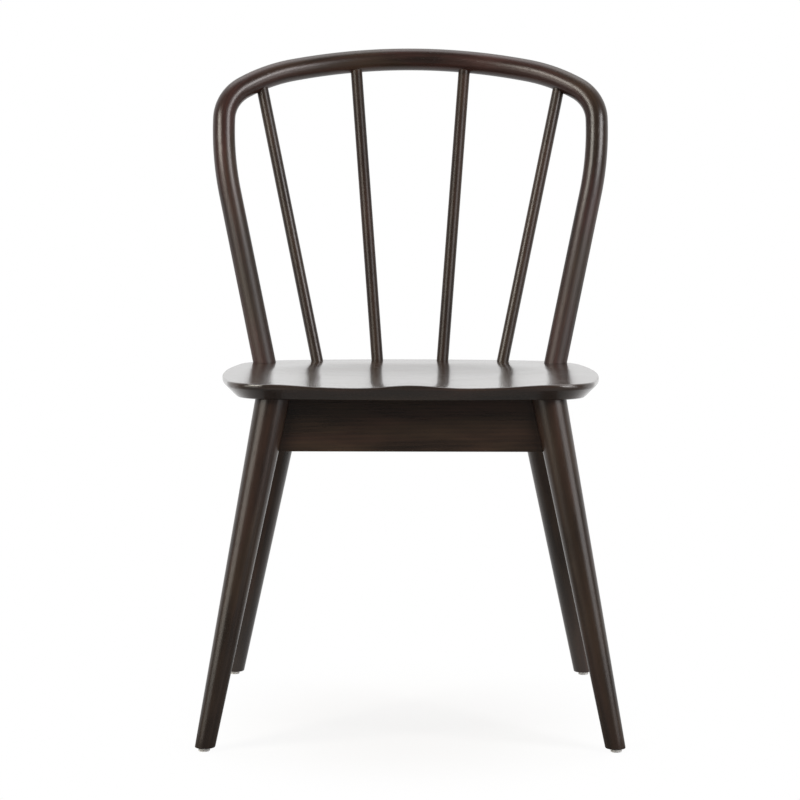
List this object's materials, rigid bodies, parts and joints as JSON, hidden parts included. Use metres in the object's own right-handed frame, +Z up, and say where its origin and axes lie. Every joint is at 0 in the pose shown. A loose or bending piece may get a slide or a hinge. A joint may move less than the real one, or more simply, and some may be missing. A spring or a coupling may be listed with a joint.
{
  "type": "dining chair",
  "caption": "Dark-stained wooden hoop-back dining chair with plain spindles, a saddled seat, deep aprons and splayed round legs.",
  "frame": {"origin": "on the floor, under the middle of the chair's box", "axes": "+Z up; -Y is the front, the side of the sitter's knees; +X is the right-hand side as seen from the front"},
  "size_m": [0.5386, 0.5526, 0.8733],
  "materials": {
    "stained_wood": "satin dark brown stain",
    "block_wood": "sawn and stained",
    "dowel_wood": "raw",
    "glide_plastic": "satin",
    "fastener_steel": "zinc plated"
  },
  "bodies": {
    "root": {"seat_panel": "stained_wood", "back_bow": "stained_wood", "spindle_left_inner": "stained_wood", "spindle_left_outer": "stained_wood", "spindle_right_inner": "stained_wood", "spindle_right_outer": "stained_wood", "leg_front_left": "stained_wood", "leg_front_right": "stained_wood", "leg_rear_left": "stained_wood", "leg_rear_right": "stained_wood", "apron_front": "stained_wood", "apron_rear": "stained_wood", "apron_left": "stained_wood", "apron_right": "stained_wood", "corner_block_front_left": "block_wood", "corner_block_front_right": "block_wood", "corner_block_rear_left": "block_wood", "corner_block_rear_right": "block_wood", "glide_front_left": "glide_plastic", "glide_front_right": "glide_plastic", "glide_rear_left": "glide_plastic", "glide_rear_right": "glide_plastic", "apron_dowels_front": "dowel_wood", "apron_dowels_rear": "dowel_wood", "apron_dowels_left": "dowel_wood", "apron_dowels_right": "dowel_wood", "apron_screws": "fastener_steel", "seat_screws": "fastener_steel", "glide_nails": "fastener_steel"}
  },
  "joints": []
}
